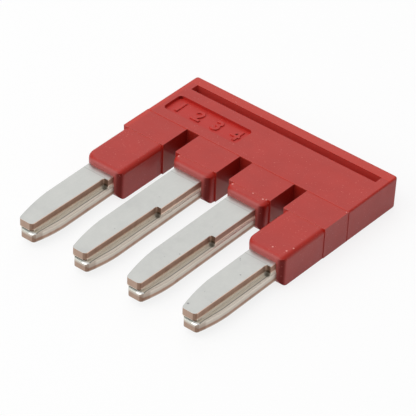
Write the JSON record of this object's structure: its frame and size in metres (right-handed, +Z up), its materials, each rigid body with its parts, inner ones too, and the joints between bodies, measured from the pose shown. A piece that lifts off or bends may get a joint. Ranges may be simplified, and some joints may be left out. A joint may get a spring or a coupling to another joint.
{
  "type": "terminal block jumper bar",
  "caption": "Flat plug-in jumper bar with doubled metal prongs in a moulded insulating body, pushed into rail terminal blocks to connect them.",
  "frame": {"origin": "centre of the whole part seen from above, on the plane that its underside rests on", "axes": "+X along the row of prongs, +Y from the prong tips towards the body, +Z up through the face with the label field"},
  "size_m": [0.0232, 0.026, 0.0033],
  "materials": {
    "red_plastic": "satin moulded",
    "tinned_copper": "satin tin plate"
  },
  "bodies": {
    "root": {"housing": "red_plastic", "contact_comb": "tinned_copper"}
  },
  "joints": []
}
